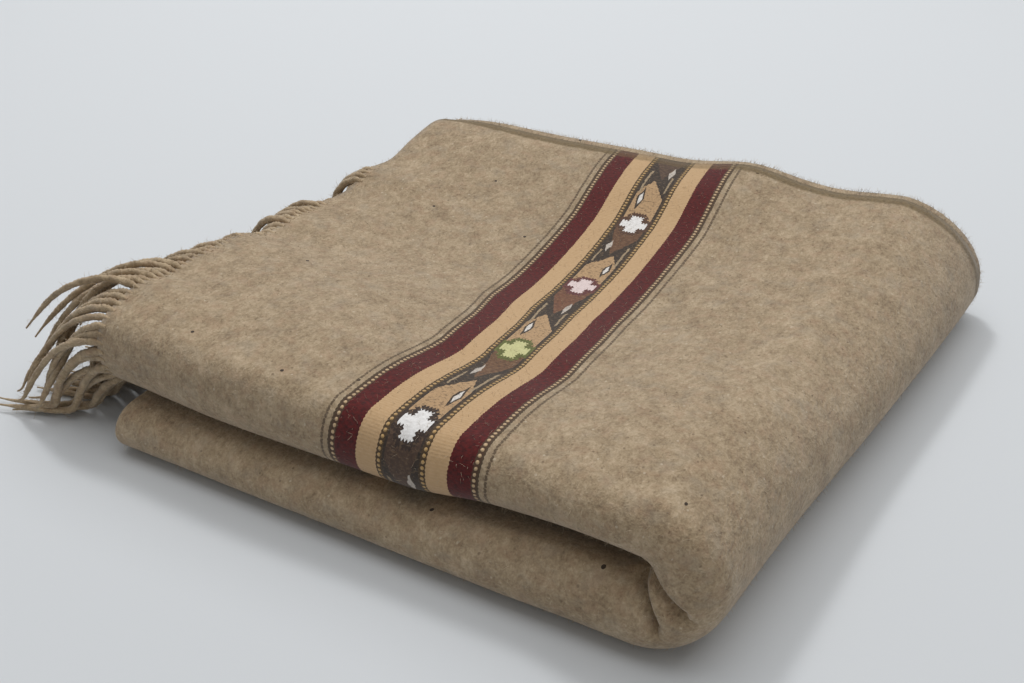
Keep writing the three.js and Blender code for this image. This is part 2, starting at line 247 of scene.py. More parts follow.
def placed(run, t, depth, level, pleat, bulge):
    """Where a row of the strip lies in the folded packet, and its length along the warp."""
    share = depth / DEPTH
    centre = between(*FOLD_CENTRE, share)
    reach = between(*FOLD_REACH, ease(share))
    opening = between(*FOLD_OPENING, ease(share / OPENING_DEPTH))
    if run == "upper":
        end = between(*UPPER_END, ease((share - END_SLANT_FROM) / (1 - END_SLANT_FROM)))
        x = between(end + UPPER_SETBACK[pleat], centre, t) - bulge
        section = section_at(UPPER, x)
        y = across(section, share)
        slit = height_over(section_at(LOWER, x), y) + PUFF_UP * ridge(x, y, *SLIT_PUFF)
        gap = opening * ease((t - 1 + OPENING_RUN) / OPENING_RUN)
        top = height_over(section, y) + creased(x, y)
        return np.stack([x, y, between(slit, top, (level + gap) / (STACK + gap))], -1), x
    if run == "lower":
        x = between(centre, LOWER_END + LOWER_SETBACK[pleat], t) - bulge
        section = section_at(LOWER, x)
        y = across(section, share)
        gap = opening * ease((OPENING_RUN - t) / OPENING_RUN)
        slit = height_over(section, y) + ridge(x, y, *SLIT_PUFF)
        z = between(CLOTH / 2, slit, (LOWEST - level) / (LOWEST + gap))
        return np.stack([x, y, z], -1), 2 * centre + FOLD_LENGTH - x
    upper = section_at(UPPER, centre)
    lower = section_at(LOWER, centre)
    over = across(upper, share)
    y = between(over, across(lower, share), ease(np.array(t)))
    slit = height_over(lower, y) + between(PUFF_UP, 1.0, t) * ridge(centre, y, *SLIT_PUFF)
    radius = (level + opening) / (STACK + opening)
    low_radius = (level + opening) / (LOWEST + opening)
    angle = math.pi * t
    top = height_over(upper, over) + creased(centre, over)
    if t < 0.5:
        z = slit + (top - slit) * radius * math.cos(angle)
        out = math.sin(angle) ** between(*FOLD_CROWN, share)
    else:
        z = slit + (slit - CLOTH / 2) * low_radius * math.cos(angle)
        out = max(math.sin(angle), 0.0) ** between(*FOLD_SLUMP, share)
    return np.stack([centre + reach * radius * out, y, z], -1), centre + FOLD_LENGTH * t


# Steps across the width: top, roll, bottom, turn and middle. Rows of the strip: upper run, round fold and
# lower run of each layer, joined by the pleats' turns
WIDTH_STEPS = (68, 34, 20, 8, 10)
RUN_STEPS = ((70, 72, 34), (34, 18, 24), (30, 16, 18))
PLEAT_STEPS = 5

rows = []
for layer in range(LAYERS):
    upper_steps, fold_steps, lower_steps = RUN_STEPS[layer]
    stations = [("upper", j / upper_steps) for j in range(upper_steps)]
    stations += [("fold", j / fold_steps) for j in range(fold_steps + 1)]
    stations += [("lower", j / lower_steps) for j in range(1, lower_steps + 1)]
    if layer % 2:
        stations.reverse()
    rows += [(run, t, layer + 0.5, layer, 0.0) for run, t in stations]
    if layer + 1 < LAYERS:
        for j in range(1, PLEAT_STEPS + 1):
            bend = math.pi * j / (PLEAT_STEPS + 1)
            bulge = PLEAT_BULGE * math.sin(bend)
            rows.append((*stations[-1], layer + 1 - 0.5 * math.cos(bend), layer + 1, bulge))

grid = []
warp = []
for run, t, offset, pleat, bulge in rows:
    depth, level = width_path(offset, WIDTH_STEPS, roll_under(run, t))
    points, length = placed(run, t, depth, level, pleat, bulge)
    grid.append(points)
    warp.append(length)
grid = tucked(np.array(grid))
warp = np.array(warp)
outer_rows = sum(RUN_STEPS[0]) + 1
columns = grid.shape[1]


def sheet_normals(points):
    along = np.gradient(points, axis=0)
    aside = np.gradient(points, axis=1)
    normal = np.cross(along, aside)
    return normal / np.linalg.norm(normal, axis=-1, keepdims=True)


normals = sheet_normals(grid)
under_face = grid + normals * CLOTH / 2
outer_face = grid - normals * CLOTH / 2
corners = np.concatenate([under_face.reshape(-1, 3), outer_face.reshape(-1, 3)])
corners[:, 2] = np.maximum(corners[:, 2], 0.0)
count = grid.shape[0] * columns
number = np.arange(count).reshape(grid.shape[:2])
quads = np.stack([number[:-1, :-1], number[1:, :-1], number[1:, 1:], number[:-1, 1:]], -1).reshape(-1, 4)
rim = np.concatenate([number[0, :], number[1:, -1], number[-1, -2::-1], number[-2:0:-1, 0]])
rim_next = np.roll(rim, -1)
edge_quads = np.stack([rim, rim_next, rim_next + count, rim + count], -1)
all_quads = np.concatenate([quads, quads[:, ::-1] + count, edge_quads])

# Lengths on the cloth in metres: across it from the back selvage, along the row that crosses X = 0 on the
# top, and along the warp, with each layer further along than the one over it
TOP_COLUMN = 40
LAYER_SHIFT = 1.1
middle_row = np.argmin(np.abs(warp[:outer_rows, TOP_COLUMN]))
steps_across = np.linalg.norm(np.diff(under_face[middle_row], axis=0), axis=1)
weft = np.concatenate([[0.0], np.cumsum(steps_across)])
weft_map = np.broadcast_to(weft, warp.shape)
layer_of_row = np.array([pleat for *_, pleat, _ in rows])
warp_map = warp + layer_of_row[:, None] * LAYER_SHIFT

# The border band lies across the outer layer: place along the cloth's width, and there the X of its two
# outer bead rows, which are BAND_SPAN apart when it lies flat. The crosses of its middle strip stand at
# CROSSES. On the other layers its map is OFF_BAND
BAND_SPAN = 0.084
OFF_BAND = 1.0
BAND_RUN = np.array([
    (0.025, -0.0435, 0.0485),
    (0.085, -0.0398, 0.0505),
    (0.165, -0.0393, 0.0485),
    (0.212, -0.0378, 0.0485),
    (0.243, -0.0325, 0.0505),
    (0.288, -0.0290, 0.0520),
    (0.338, -0.0328, 0.0490),
    (0.373, -0.0360, 0.0483),
    (0.403, -0.0370, 0.0493),
])
CROSSES = np.array([-0.012, 0.085, 0.167, 0.272, 0.371, 0.473, 0.570])
left_row = np.interp(weft, BAND_RUN[:, 0], BAND_RUN[:, 1])
right_row = np.interp(weft, BAND_RUN[:, 0], BAND_RUN[:, 2])
band_across = (warp - left_row) / (right_row - left_row) * BAND_SPAN
band_across[outer_rows:] = OFF_BAND
band_repeat = np.broadcast_to(np.interp(weft, CROSSES, np.arange(len(CROSSES)) - 1.0), warp.shape)


def mesh_of(name, points, faces):
    mesh = bpy.data.meshes.new(name)
    mesh.from_pydata(points.tolist(), [], faces.tolist())
    mesh.shade_smooth()
    return mesh


def add_piece(name, data):
    piece = bpy.data.objects.new(name, data)
    bpy.context.scene.collection.objects.link(piece)
    return piece


def add_map(mesh, name, first, second):
    """A UV map from two numbers at each vertex."""
    uv_map = mesh.uv_layers.new(name=name)
    vertex = np.empty(len(mesh.loops), dtype=np.int32)
    mesh.loops.foreach_get("vertex_index", vertex)
    pairs = np.stack([first[vertex], second[vertex]], -1).astype(np.float32)
    uv_map.data.foreach_set("uv", pairs.ravel())


cloth_mesh = mesh_of("shawl_cloth_sheet", corners, all_quads)
add_map(cloth_mesh, "lengths", np.tile(weft_map.ravel(), 2), np.tile(warp_map.ravel(), 2))
add_map(cloth_mesh, "band", np.tile(band_across.ravel(), 2), np.tile(band_repeat.ravel(), 2))
cloth = add_piece("shawl_cloth_sheet", cloth_mesh)


def dye(red, green, blue):
    """A yarn colour given as screen values from 0 to 255."""
    linear = []
    for part in (red, green, blue):
        linear.append(((part / 255 + 0.055) / 1.055) ** 2.4 if part > 10 else part / 255 / 12.92)
    return (*linear, 1.0)


class Measure:
    """A number that varies over the cloth, worked out by Math nodes."""

    def __init__(self, tree, socket):
        self.tree = tree
        self.socket = socket

    def step(self, operation, *others):
        node = self.tree.nodes.new("ShaderNodeMath")
        node.operation = operation
        for place, term in zip(node.inputs, (self, *others)):
            if isinstance(term, Measure):
                self.tree.links.new(term.socket, place)
            else:
                place.default_value = term
        return Measure(self.tree, node.outputs[0])

    def __add__(self, other):
        return self.step("ADD", other)

    def __sub__(self, other):
        return self.step("SUBTRACT", other)

    def __mul__(self, other):
        return self.step("MULTIPLY", other)

    def __lt__(self, other):
        return self.step("LESS_THAN", other)

    def __gt__(self, other):
        return self.step("GREATER_THAN", other)

    def __and__(self, other):
        return self.step("MULTIPLY", other)

    def __or__(self, other):
        return self.step("MAXIMUM", other)

    def __abs__(self):
        return self.step("ABSOLUTE")

    def floor(self):
        return self.step("FLOOR")

    def fraction(self):
        return self.step("FRACT")

    def zigzag(self, pitch):
        """A saw-tooth from 0 to 1 and back."""
        return self.step("PINGPONG", pitch / 2) * (2 / pitch)

    def spread(self, low, high, to_low=0.0, to_high=1.0):
        node = self.tree.nodes.new("ShaderNodeMapRange")
        for place, value in zip(node.inputs[1:5], (low, high, to_low, to_high)):
            place.default_value = value
        self.tree.links.new(self.socket, node.inputs[0])
        return Measure(self.tree, node.outputs[0])


def dyed(tree, under, over, cover):
    """One colour laid over another where cover is 1."""
    node = tree.nodes.new("ShaderNodeMix")
    node.data_type = "RGBA"
    tree.links.new(cover.socket, node.inputs[0])
    for place, colour in ((node.inputs[6], under), (node.inputs[7], over)):
        if isinstance(colour, bpy.types.NodeSocket):
            tree.links.new(colour, place)
        else:
            place.default_value = colour
    return node.outputs[2]


def mapped(tree, name):
    """The two numbers of a UV map, and the map itself."""
    source = tree.nodes.new("ShaderNodeUVMap")
    source.uv_map = name
    parts = tree.nodes.new("ShaderNodeSeparateXYZ")
    tree.links.new(source.outputs[0], parts.inputs[0])
    return Measure(tree, parts.outputs[0]), Measure(tree, parts.outputs[1]), source.outputs[0]


def grain(tree, place, scale, stretch=(1.0, 1.0, 1.0), detail=2.0):
    """Noise of so many grains a metre, drawn out along the axes."""
    turn = tree.nodes.new("ShaderNodeMapping")
    turn.inputs["Scale"].default_value = stretch
    noise = tree.nodes.new("ShaderNodeTexNoise")
    noise.inputs["Scale"].default_value = scale
    noise.inputs["Detail"].default_value = detail
    noise.inputs["Roughness"].default_value = 0.6
    tree.links.new(place, turn.inputs[0])
    tree.links.new(turn.outputs[0], noise.inputs["Vector"])
    return Measure(tree, noise.outputs[0])


def flecks(tree, place, scale, size, share):
    """Small spots: the middles of a share of the cells of a Voronoi pattern."""
    cells = tree.nodes.new("ShaderNodeTexVoronoi")
    cells.voronoi_dimensions = "2D"
    cells.inputs["Scale"].default_value = scale
    tree.links.new(place, cells.inputs["Vector"])
    pick = tree.nodes.new("ShaderNodeSeparateColor")
    tree.links.new(cells.outputs["Color"], pick.inputs[0])
    near = Measure(tree, cells.outputs["Distance"]) < size * scale
    return near & (Measure(tree, pick.outputs[0]) < share)


def finish_wool(tree, colour, height, distance):
    """The shader of a soft, matt, hairy yarn."""
    bump = tree.nodes.new("ShaderNodeBump")
    bump.inputs["Strength"].default_value = 1.0
    bump.inputs["Distance"].default_value = distance
    tree.links.new(height.socket, bump.inputs["Height"])
    shader = tree.nodes["Principled BSDF"]
    shader.inputs["Roughness"].default_value = 0.95
    shader.inputs["Specular IOR Level"].default_value = 0.1
    shader.inputs["Sheen Weight"].default_value = 0.25
    shader.inputs["Sheen Roughness"].default_value = 0.6
    tree.links.new(colour, shader.inputs["Base Color"])
    tree.links.new(bump.outputs[0], shader.inputs["Normal"])


# Shades of carded wool: grains a metre, how they are drawn out along X, Y and Z, and their detail
STREAKS = (480.0, (1.0, 0.7, 1.0), 2.0)
TUFTS = (190.0, (1.0, 0.7, 1.0), 2.0)
BLOTCHES = (60.0,)
FINE_GRAIN = (1000.0, (1.0, 0.8, 1.0), 1.0)
COOL_PATCHES = (75.0, (1.0, 1.0, 1.6))
WARM_PATCHES = (130.0,)
COOL_GREY = dye(156, 146, 130)
WARM_BROWN = dye(166, 132, 106)


def heather(tree, place, light, mid, dark):
    """Wool of mixed shades, with patches of grey and of warm brown, and the height of its pile."""
    streak = grain(tree, place, *STREAKS)
    tuft = grain(tree, place, *TUFTS)
    blotch = grain(tree, place, *BLOTCHES)
    fine = grain(tree, place, *FINE_GRAIN)
    tone = streak * 0.31 + tuft * 0.23 + blotch * 0.25 + fine * 0.21
    colour = dyed(tree, dark, mid, tone.spread(0.35, 0.50))
    colour = dyed(tree, colour, light, tone.spread(0.50, 0.65))
    cool = grain(tree, place, *COOL_PATCHES)
    colour = dyed(tree, colour, COOL_GREY, cool.spread(0.50, 0.72, 0.0, 0.30))
    warmth = grain(tree, place, *WARM_PATCHES)
    colour = dyed(tree, colour, WARM_BROWN, warmth.spread(0.48, 0.72, 0.0, 0.28))
    return colour, streak * 0.6 + tuft * 0.25 + fine * 0.15


def new_wool(name):
    """A wool material, with its node tree and the place on the piece that its shades follow."""
    material = bpy.data.materials.new(name)
    material.use_nodes = True
    tree = material.node_tree
    return material, tree, tree.nodes.new("ShaderNodeTexCoord").outputs["Object"]


CLOTH_SHADES = (dye(193, 173, 145), dye(164, 144, 116), dye(126, 106, 82))
PILE_HEIGHT = 0.0012
wool_cloth, weave, cloth_place = new_wool("wool_cloth")
from_selvage, along_warp, lengths = mapped(weave, "lengths")
colour, pile = heather(weave, cloth_place, *CLOTH_SHADES)
# Odd fibres: their colour, cells a metre, radius, share of the cells that hold one, and strength
FIBRES = (
    (dye(214, 202, 180), 95.0, 0.0007, 0.14, 0.4),
    (dye(92, 74, 54), 110.0, 0.0007, 0.14, 0.5),
    (dye(44, 32, 24), 17.0, 0.0011, 0.30, 0.95),
)
for fibre, cells, radius, share, strength in FIBRES:
    colour = dyed(weave, colour, fibre, flecks(weave, lengths, cells, radius, share) * strength)

# Across the band, in millimetres from its middle outwards: patterned strip, gold beads, ribbed tan,
# maroon, cream beads, brown line and, on the plain cloth, a thin dashed line. Edges wander a little
MM = 1000.0
BAND_MIDDLE = 41.6
GOLD_FROM = 11.1
TAN_FROM = 14.7
RIBS_FROM = 15.0
MAROON_FROM = 27.1
CREAM_FROM = 40.2
BROWN_FROM = 43.4
BAND_END = 44.5
THIN_LINE = (47.6, 49.1)
GOLD_BEADS_AT = 12.85
CREAM_BEADS_AT = 41.75
BEAD_PITCH = 3.1
PICK_PITCH = 2.2
RIB_PITCH = 1.7
DASH_PITCH = 3.4
WANDER = 0.9
PICK_TOOTH = 0.45
EDGE_GRAIN = 160.0
BAND_GRAIN = (700.0, (1.0, 0.5, 1.0), 2.0)
from_bead, repeat, _ = mapped(weave, "band")
aside = from_bead * MM - BAND_MIDDLE
pick_tooth = (from_selvage * MM).zigzag(PICK_PITCH)
uneven = grain(weave, lengths, EDGE_GRAIN) - 0.5
half = abs(aside) + uneven * WANDER + pick_tooth * PICK_TOOTH - 0.1
on_cloth = from_bead < OFF_BAND / 2
ink = dye(48, 40, 34)

rib = (from_selvage * MM).zigzag(RIB_PITCH)
band_tone = grain(weave, lengths, *BAND_GRAIN)
tan_yarn = dyed(weave, dye(181, 146, 104), dye(207, 176, 137), rib * 0.16 + band_tone * 0.84)
maroon_yarn = dyed(weave, dye(57, 5, 5), dye(99, 16, 14), band_tone.spread(0.3, 0.7))


def bead_row(middle):
    """Raised beads of yarn, 1 mm in radius, along a row that lies this far from the band's middle."""
    up = abs(aside) - middle + uneven * 0.8
    along = ((from_selvage * (MM / BEAD_PITCH) + uneven * 0.3).fraction() - 0.5) * BEAD_PITCH
    return (up * up + along * along - 1.0) * -1.0


gold_bead = bead_row(GOLD_BEADS_AT)
cream_bead = bead_row(CREAM_BEADS_AT)
gold_row = dyed(weave, dye(78, 60, 38), dye(198, 162, 108), gold_bead > 0.0)
cream_row = dyed(weave, dye(80, 58, 42), dye(206, 177, 138), cream_bead > 0.0)

# The patterned strip: stepped crosses, and between them leaning triangles, lozenges and leaves, whose
# sides change with each repeat. In millimetres: a repeat, the strip's half width and where its margin is,
# half width and half height of a cross's bar and post and of the stepped ground round it, and pitch and
# depth of the picks that tooth the edges
REPEAT = 97.0
STRIP = 10.7
STRIP_MARGIN = 9.6
CROSS_BAR = (8.8, 4.5)
CROSS_POST = (4.6, 10.8)
GROUND_BAR = (10.8, 8.0)
GROUND_POST = (8.0, 12.0)
GROUND_TOP = (5.8, 14.6)
TEETH_UP = (2.0, 1.7)
TEETH_ASIDE = (2.4, 1.4)
LOOSE_GRAIN = (620.0, (1.0, 0.6, 1.0), 2.0)
along_strip = repeat * REPEAT
cross_number = (repeat + 0.5).floor()
off_cross = abs(repeat - cross_number) * REPEAT
off_axis = abs(aside)
comb_up = aside.zigzag(TEETH_UP[0]) * TEETH_UP[1]
comb_side = along_strip.zigzag(TEETH_ASIDE[0]) * TEETH_ASIDE[1]
off_comb = off_cross + comb_up
off_side = off_axis + comb_side


def block(across_strip, sizes):
    """A block about the middle of a cross, by its half width and half height."""
    return (across_strip < sizes[0]) & (off_comb < sizes[1])


cross = block(off_axis, CROSS_BAR) | block(off_side, CROSS_POST)
ground = block(off_axis, GROUND_BAR) | block(off_side, GROUND_POST) | block(off_side, GROUND_TOP)

# Between the crosses, in shares: side is -1 and 1 at the strip's sides, and run_on goes from 0 to 1
begun = repeat.floor()
run_on = repeat - begun + (comb_up - 0.8) * (0.6 / REPEAT) + uneven * 0.05
side = (aside + uneven * 2.5) * (begun.step("FLOORED_MODULO", 2.0) * -2.0 + 1.0) * (1 / STRIP)


def wedge(low, high):
    """Between two slanting lines, each given by its slope and by its level where the repeat begins."""
    return (side + run_on * low[0] > low[1]) & (side + run_on * high[0] < high[1])


def off_lozenge(middle_side, middle_on, half_width, half_length):
    """How far away the middle of a lozenge is, 1 at its edges."""
    return abs(side - middle_side) * (1 / half_width) + abs(run_on - middle_on) * (1 / half_length)


def streak_line(middle_side, half_width, start, end):
    return (abs(side - middle_side) < half_width) & (run_on > start) & (run_on < end)


brown_wedge = wedge(low=(-2.4, -1.2), high=(4.3, 1.8)) & (run_on < 0.44)
tan_wedge = wedge(low=(5.2, 2.65), high=(-4.0, -1.65)) & (run_on > 0.45)
lozenge = off_lozenge(middle_side=-0.5, middle_on=0.34, half_width=0.19, half_length=0.085) < 1.0
off_leaf = off_lozenge(middle_side=0.5, middle_on=0.70, half_width=0.16, half_length=0.082)
streaks = streak_line(0.78, 0.07, 0.33, 0.63) | streak_line(-0.78, 0.06, 0.40, 0.60)
LEAF_RIM = 1.6
LEAF_HEART = 0.9
WEDGE_YARNS = (dye(108, 76, 54), dye(118, 76, 54), dye(112, 80, 56), dye(82, 62, 50))
GROUNDS = (dye(84, 56, 42), dye(98, 44, 48), dye(98, 106, 48), dye(50, 38, 34))
CROSS_YARNS = (dye(240, 238, 236), dye(232, 214, 212), dye(208, 206, 150), dye(242, 241, 240))


def by_repeat(yarns):
    """One yarn for each repeat in turn."""
    ramp = weave.nodes.new("ShaderNodeValToRGB")
    ramp.color_ramp.interpolation = "CONSTANT"
    stops = ramp.color_ramp.elements
    for place, yarn in enumerate(yarns):
        stop = stops[0] if place == 0 else stops.new(place / len(yarns))
        stop.position = place / len(yarns)
        stop.color = yarn
    stops.remove(stops[-1])
    turn = cross_number.step("FLOORED_MODULO", len(yarns)) * (1 / len(yarns)) + 0.05
    weave.links.new(turn.socket, ramp.inputs[0])
    return ramp.outputs[0]


strip_yarn = dyed(weave, ink, by_repeat(WEDGE_YARNS), brown_wedge)
strip_yarn = dyed(weave, strip_yarn, dye(192, 158, 118), tan_wedge)
strip_yarn = dyed(weave, strip_yarn, ink, off_axis > STRIP_MARGIN)
strip_yarn = dyed(weave, strip_yarn, dye(170, 150, 120), streaks)
strip_yarn = dyed(weave, strip_yarn, dye(206, 198, 188), lozenge)
strip_yarn = dyed(weave, strip_yarn, ink, off_leaf < LEAF_RIM)
strip_yarn = dyed(weave, strip_yarn, dye(236, 232, 226), off_leaf < LEAF_HEART)
loose = grain(weave, lengths, *LOOSE_GRAIN)
strip_yarn = dyed(weave, strip_yarn, by_repeat(GROUNDS), ground)
strip_yarn = dyed(weave, strip_yarn, dye(62, 46, 38), loose.spread(0.50, 0.66, 0.0, 0.55))
strip_yarn = dyed(weave, strip_yarn, dye(150, 122, 92), loose.spread(0.34, 0.48, 0.30, 0.0))
strip_yarn = dyed(weave, strip_yarn, by_repeat(CROSS_YARNS), cross)
strip_yarn = dyed(weave, strip_yarn, dye(92, 74, 58), band_tone.spread(0.35, 0.8, 0.0, 0.3))

band_yarn = dyed(weave, strip_yarn, gold_row, half > GOLD_FROM)
band_yarn = dyed(weave, band_yarn, tan_yarn, half > TAN_FROM)
band_yarn = dyed(weave, band_yarn, maroon_yarn, half > MAROON_FROM)
band_yarn = dyed(weave, band_yarn, cream_row, half > CREAM_FROM)
band_yarn = dyed(weave, band_yarn, dye(80, 64, 46), half > BROWN_FROM)
in_band = (half < BAND_END) & on_cloth
colour = dyed(weave, colour, band_yarn, in_band)
dash = (from_selvage * MM + uneven * 3.0).zigzag(DASH_PITCH) > 0.10
thin_line = (half > THIN_LINE[0]) & (half < THIN_LINE[1]) & dash & on_cloth
colour = dyed(weave, colour, dye(88, 72, 54), thin_line * 0.85)

# The dark selvage of the outer layer, its own darker yarn with painted shade along the back edge added
# in, in metres: its edge fades out between two widths
SELVAGE_AND_SHADE_EDGE = (0.0078, 0.0104)
OUTER_LAYER_END = 0.8
selvage_and_shade_place = (from_selvage + uneven * 0.004).spread(*SELVAGE_AND_SHADE_EDGE, 1.0, 0.0)
selvage = selvage_and_shade_place & (along_warp < OUTER_LAYER_END)
selvage_and_shade_yarn = dyed(weave, dye(86, 70, 42), dye(122, 102, 66), band_tone.spread(0.3, 0.7))
# Partly painted shade: the selvage strip is darker than its yarn to stand for the shade along the back
# edge
colour = dyed(weave, colour, selvage_and_shade_yarn, selvage * (in_band * -0.35 + 0.85))
beads = (gold_bead.step("MAXIMUM", 0.0) | cream_bead.step("MAXIMUM", 0.0)) & on_cloth
ribbed = (half > RIBS_FROM) & (half < MAROON_FROM) & on_cloth
height = pile * (in_band * -0.6 + 1.0) + beads * 0.5 + (rib & ribbed) * 0.06
finish_wool(weave, colour, height, PILE_HEIGHT)
cloth_mesh.materials.append(wool_cloth)

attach(cloth, "root")
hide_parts("shawl_cloth")


# Fringe: the warp ends of the cloth, twisted in pairs into thick two-ply strands along its fringed end.
# All are cut to one length, leave the edge nearly level, and bend down under their own weight as far as
# the floor, where the rest of each lies flat. Each is a curve whose two-lobed section turns along it.
STRAND_PITCH = 0.0053
STRAND_RADIUS = 0.0029
STRAND_TIP = 0.0006
STRAND_LENGTH = 0.104
STRAND_STEPS = 34
ROOT_IN = 0.0045
# Thinner root and how fast it fills out, share of the radius at the far end, and where the tip begins
ROOT_SHARE = 0.55
ROOT_RISE = 13
END_SHARE = 0.62
TIP_FROM = 0.78
# Twist in turns a metre, and the section's narrow waist between its two lobes
TWIST = 40.0
WAIST = 0.84
RING_POINTS = 12
# Steepest angle below level, height over the floor in which a strand levels out, and how high it lies
STEEPEST = 85.0
LEVEL_OUT = 0.012
LIE_SHARE = 0.5
# Along Y on each stretch of the edge: angle below level at which strands leave it, length over which they
# bend, height of the strands that they come down on, share of the length that is free, and sweep along Y
HANG = {
    "top": np.array([
        (-0.165, -6.0, 0.050, 0.006, 0.96, -0.016),
        (-0.120, -24.0, 0.068, 0.006, 1.04, -0.030),
        (-0.080, -10.0, 0.044, 0.006, 0.96, -0.022),
        (-0.050, -4.0, 0.030, 0.006, 0.85, -0.006),
        (-0.030, -8.0, 0.026, 0.006, 0.80, 0.0),
        (0.000, -16.0, 0.028, 0.006, 0.82, 0.0),
        (0.042, -20.0, 0.026, 0.006, 0.82, 0.0),
        (0.055, 24.0, 0.022, 0.006, 0.75, 0.0),
        (0.076, 24.0, 0.022, 0.006, 0.75, 0.0),
        (0.084, -14.0, 0.024, 0.006, 0.78, 0.0),
        (0.100, -12.0, 0.022, 0.006, 0.78, 0.0),
        (0.112, 26.0, 0.022, 0.006, 0.75, 0.0),
    ]),
    "bottom": np.array([
        (-0.150, 10.0, 0.038, 0.0, 0.92, -0.014),
        (0.000, 15.0, 0.030, 0.0, 0.60, 0.0),
    ]),
    "middle": np.array([
        (-0.150, 8.0, 0.040, 0.003, 0.85, -0.008),
        (0.000, 24.0, 0.030, 0.003, 0.55, 0.0),
    ]),
}
# How strands part along Y: fanned round the roll and the turn, swaying in bunches, each with its own curl
ROLL_FAN = 0.004
TURN_FAN = 0.012
SWAY = 0.0045
SWAY_PACE = 0.70
OWN_SWAY = 0.0040
DRIFT_POWER = 1.5
CURL = 0.0028
CURL_WAVES = ((5.0, 1.0), (9.0, 0.6))
# How much strands differ: radius, leaving angle in degrees, bend and length
PLUMP_SPREAD = 0.08
ANGLE_SPREAD = 7.0
BEND_SPREAD = 0.18
LENGTH_SPREAD = 0.07


def hang_at(leg, level, y):
    """How a strand hangs at a place on the edge."""
    hung = {}
    for name, table in HANG.items():
        hung[name] = np.array([np.interp(y, table[:, 0], column) for column in table[:, 1:].T])
    if leg == "roll":
        return between(hung["bottom"], hung["top"], np.clip(level / STACK, 0, 1))
    if leg == "turn":
        return between(hung["bottom"], hung["middle"], np.clip(level / (2 * LAYERS), 0, 1))
    return hung[leg]


def hung_line(root, angle, bend, floor_at, length):
    """A strand bent down from its root by its weight, and laid level where it meets the floor."""
    step = length / (STRAND_STEPS - 1)
    line = [root + (ROOT_IN, 0.0, 0.0)]
    for n in range(1, STRAND_STEPS):
        x, y, z = line[-1]
        steep = angle + (STEEPEST - angle) * (1 - math.exp(-n * step / bend))
        steep = math.radians(steep) * float(ease((z - floor_at) / LEVEL_OUT))
        line.append((x - step * math.cos(steep), y, z - step * math.sin(steep)))
    return np.array(line)


edge_path = grid[0]
edge_level = width_path(0.5, WIDTH_STEPS)[1]
edge_legs = np.repeat(["top", "roll", "bottom", "turn", "middle"], WIDTH_STEPS)
edge_run = np.concatenate([[0.0], np.cumsum(np.linalg.norm(np.diff(edge_path, axis=0), axis=1))])
STRAND_SEED = 5
chance = np.random.default_rng(STRAND_SEED)
strand_points = []
strand_edges = []
strand_radii = []
for number_on, run in enumerate(np.arange(STRAND_PITCH / 2, edge_run[-1], STRAND_PITCH)):
    j = np.searchsorted(edge_run, run) - 1
    root = np.array([np.interp(run, edge_run, edge_path[:, axis]) for axis in range(3)])
    level = np.interp(run, edge_run, edge_level)
    leg = edge_legs[j]
    t = np.linspace(0.0, 1.0, STRAND_STEPS)
    plump = STRAND_RADIUS * (1 + PLUMP_SPREAD * chance.normal())
    radius = plump * between(ROOT_SHARE, 1.0, ease(t * ROOT_RISE)) * between(1.0, END_SHARE, t)
    radius = between(radius, STRAND_TIP, ease((t - TIP_FROM) / (1 - TIP_FROM)))
    angle, bend, lying, free, sweep = hang_at(leg, level, root[1])
    angle = angle + ANGLE_SPREAD * chance.normal()
    length = STRAND_LENGTH * free * (1 + LENGTH_SPREAD * chance.normal())
    bend = bend * math.exp(BEND_SPREAD * chance.normal())
    line = hung_line(root, angle, bend, lying + LIE_SHARE * STRAND_RADIUS, length)
    sway = SWAY * math.sin(number_on * SWAY_PACE) + OWN_SWAY * chance.normal()
    fan = {
        "roll": -ROLL_FAN * math.sin(math.pi * level / STACK),
        "turn": TURN_FAN * (1 - level / (2 * LAYERS)),
    }
    drift = sweep + sway + fan.get(leg, 0.0)
    line[:, 1] += drift * t ** DRIFT_POWER
    curl = CURL * chance.normal(size=2)
    for amount, (pace, share) in zip(curl, CURL_WAVES):
        line[:, 1] += amount * np.sin(t * pace) * t * share
    line[:, 2] = np.maximum(line[:, 2], radius)
    first = len(strand_points)
    strand_points += line.tolist()
    strand_radii += radius.tolist()
    strand_edges += [(first + n, first + n + 1) for n in range(STRAND_STEPS - 1)]

strand_lines = bpy.data.meshes.new("shawl_fringe_strands")
strand_lines.from_pydata(strand_points, strand_edges, [])
strand_lines.attributes.new("thickness", "FLOAT", "POINT").data.foreach_set("value", strand_radii)
fringe = add_piece("shawl_fringe_strands", strand_lines)

YARN_SHADES = (dye(203, 182, 151), dye(175, 154, 124), dye(133, 112, 87))
YARN_PILE_HEIGHT = 0.0008
wool_fringe, yarn, yarn_place = new_wool("wool_fringe")
yarn_colour, yarn_pile = heather(yarn, yarn_place, *YARN_SHADES)
finish_wool(yarn, yarn_colour, yarn_pile, YARN_PILE_HEIGHT)


